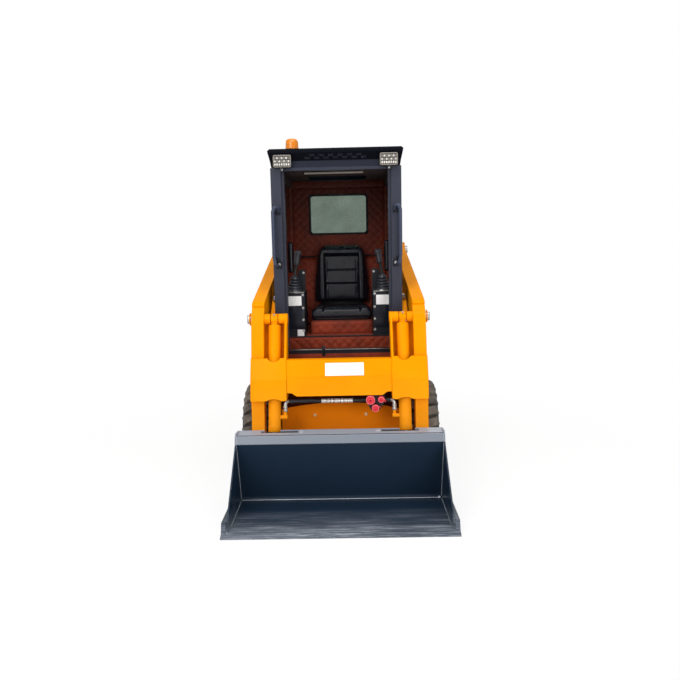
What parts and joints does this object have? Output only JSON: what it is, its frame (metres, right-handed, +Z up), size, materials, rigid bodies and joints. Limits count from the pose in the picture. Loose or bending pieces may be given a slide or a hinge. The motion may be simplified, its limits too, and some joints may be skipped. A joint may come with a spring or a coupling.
{
  "type": "skid steer loader",
  "caption": "Compact skid steer loader with a cab, radial lift arms, lift and tilt cylinders and a front bucket that curls and dumps.",
  "frame": {"origin": "on the ground, at the middle of the overall width and length", "axes": "+X is the side on the right of a viewer who faces the machine's front, -Y is forwards, +Z is up"},
  "size_m": [1.24, 2.44, 2.16],
  "materials": {
    "body_orange": "gloss yellow-orange enamel",
    "cab_paint": "semi-gloss slate enamel",
    "floor_black": "satin black enamel",
    "quilted_lining": "quilted brown lining",
    "seat_vinyl": "black vinyl",
    "black_plastic": "fine-grained black plastic",
    "screen_steel": "black enamelled screen",
    "window_glass": "clear safety glass",
    "amber_plastic": "clear amber plastic",
    "lamp_housing": "black lamp housing",
    "blank_label": "blank white film",
    "rod_chrome": "hard chrome",
    "bucket_steel": "worn grey enamel",
    "engine_iron": "black-painted iron",
    "tyre_rubber": "dusty rubber",
    "rim_paint": "white enamel",
    "hose_rubber": "ribbed hydraulic hose",
    "pin_steel": "bare steel",
    "red_plastic": "red cap"
  },
  "bodies": {
    "chassis": {"armrests": "seat_vinyl", "axle_tubes": "engine_iron", "beacon_base": "black_plastic", "beacon_dome": "amber_plastic", "body_sides": "body_orange", "bumper": "body_orange", "cab_floor": "floor_black", "cab_frame": "cab_paint", "cab_lining": "quilted_lining", "cab_roof": "cab_paint", "cab_windows": "window_glass", "chassis_frame": "body_orange", "consoles": "floor_black", "control_levers": "black_plastic", "engine_block": "engine_iron", "exhaust_pipe": "engine_iron", "front_panel": "body_orange", "grab_handles": "screen_steel", "hood": "body_orange", "lamps": "lamp_housing", "radiator": "black_plastic", "rear_wall": "cab_paint", "seat_back": "seat_vinyl", "seat_box": "quilted_lining", "seat_cushion": "seat_vinyl", "side_linings": "quilted_lining", "side_screens": "screen_steel", "tow_hitch": "engine_iron", "tower_pins": "pin_steel", "towers": "body_orange"},
    "arms": {"arm_left": "body_orange", "arm_right": "body_orange", "cross_beam": "body_orange", "label_plate": "blank_label", "hoses": "hose_rubber", "hose_union": "pin_steel", "coupler_bracket": "pin_steel", "dust_caps": "red_plastic", "arm_pins": "pin_steel"},
    "bucket": {"bucket": "bucket_steel", "hitch_plate": "bucket_steel"},
    "rear_door": {"rear_door": "body_orange", "rear_grille": "screen_steel"},
    "wheel_front_left": {"tyre_front_left": "tyre_rubber", "rim_front_left": "rim_paint"},
    "wheel_front_right": {"tyre_front_right": "tyre_rubber", "rim_front_right": "rim_paint"},
    "wheel_rear_left": {"tyre_rear_left": "tyre_rubber", "rim_rear_left": "rim_paint"},
    "wheel_rear_right": {"tyre_rear_right": "tyre_rubber", "rim_rear_right": "rim_paint"},
    "lift_barrel_left_body": {"lift_barrel_left": "body_orange"},
    "lift_rod_left_body": {"lift_rod_left": "rod_chrome"},
    "lift_barrel_right_body": {"lift_barrel_right": "body_orange"},
    "lift_rod_right_body": {"lift_rod_right": "rod_chrome"},
    "tilt_barrel_left_body": {"tilt_barrel_left": "body_orange"},
    "tilt_rod_left_body": {"tilt_rod_left": "rod_chrome"},
    "tilt_barrel_right_body": {"tilt_barrel_right": "body_orange"},
    "tilt_rod_right_body": {"tilt_rod_right": "rod_chrome"}
  },
  "joints": [
    {"name": "lift_arms", "type": "hinge", "parent": "chassis", "child": "arms", "pos_m": [0, 0.92, 1.44], "axis": [-1, 0, 0], "range_deg": [0, 64]},
    {"name": "bucket_tilt", "type": "hinge", "parent": "arms", "child": "bucket", "pos_m": [0, -0.59, 0.17], "axis": [-1, 0, 0], "range_deg": [-95, 25]},
    {"name": "rear_door_hinge", "type": "hinge", "parent": "chassis", "child": "rear_door", "pos_m": [-0.424, 1.151, 0.8], "axis": [0, 0, 1], "range_deg": [0, 100]},
    {"name": "roll_front_left", "type": "hinge", "parent": "chassis", "child": "wheel_front_left", "pos_m": [-0.51, -0.18, 0.3], "axis": [-1, 0, 0], "continuous": true},
    {"name": "roll_front_right", "type": "hinge", "parent": "chassis", "child": "wheel_front_right", "pos_m": [0.51, -0.18, 0.3], "axis": [-1, 0, 0], "continuous": true},
    {"name": "roll_rear_left", "type": "hinge", "parent": "chassis", "child": "wheel_rear_left", "pos_m": [-0.51, 0.58, 0.3], "axis": [-1, 0, 0], "continuous": true},
    {"name": "roll_rear_right", "type": "hinge", "parent": "chassis", "child": "wheel_rear_right", "pos_m": [0.51, 0.58, 0.3], "axis": [-1, 0, 0], "continuous": true},
    {"name": "lift_barrel_left_turn", "type": "hinge", "parent": "chassis", "child": "lift_barrel_left_body", "pos_m": [-0.464, 0.936, 0.785], "axis": [-1, 0, 0], "range_deg": [0, 31.7]},
    {"name": "lift_rod_left_slide", "type": "slide", "parent": "lift_barrel_left_body", "child": "lift_rod_left_body", "axis": [0, -0.8579, 0.5138], "range_m": [0, 0.5118]},
    {"name": "tilt_barrel_left_turn", "type": "hinge", "parent": "arms", "child": "tilt_barrel_left_body", "pos_m": [-0.392, -0.395, 1.045], "axis": [-1, 0, 0], "range_deg": [-0.9, 2]},
    {"name": "tilt_rod_left_slide", "type": "slide", "parent": "tilt_barrel_left_body", "child": "tilt_rod_left_body", "axis": [0, -0.294, -0.9558], "range_m": [-0.0383, 0.14]},
    {"name": "lift_barrel_right_turn", "type": "hinge", "parent": "chassis", "child": "lift_barrel_right_body", "pos_m": [0.464, 0.936, 0.785], "axis": [-1, 0, 0], "range_deg": [0, 31.7]},
    {"name": "lift_rod_right_slide", "type": "slide", "parent": "lift_barrel_right_body", "child": "lift_rod_right_body", "axis": [0, -0.8579, 0.5138], "range_m": [0, 0.5118]},
    {"name": "tilt_barrel_right_turn", "type": "hinge", "parent": "arms", "child": "tilt_barrel_right_body", "pos_m": [0.392, -0.395, 1.045], "axis": [-1, 0, 0], "range_deg": [-0.9, 2]},
    {"name": "tilt_rod_right_slide", "type": "slide", "parent": "tilt_barrel_right_body", "child": "tilt_rod_right_body", "axis": [0, -0.294, -0.9558], "range_m": [-0.0383, 0.14]}
  ],
  "couplings": [
    {"joint": "lift_barrel_left_turn", "follows": "lift_arms", "ratio": 0.4873},
    {"joint": "lift_rod_left_slide", "follows": "lift_arms", "m_per_rad": 0.4564},
    {"joint": "tilt_barrel_left_turn", "follows": "bucket_tilt", "ratio": -0.016},
    {"joint": "tilt_rod_left_slide", "follows": "bucket_tilt", "m_per_rad": -0.0832},
    {"joint": "lift_barrel_right_turn", "follows": "lift_arms", "ratio": 0.4873},
    {"joint": "lift_rod_right_slide", "follows": "lift_arms", "m_per_rad": 0.4564},
    {"joint": "tilt_barrel_right_turn", "follows": "bucket_tilt", "ratio": -0.016},
    {"joint": "tilt_rod_right_slide", "follows": "bucket_tilt", "m_per_rad": -0.0832}
  ]
}
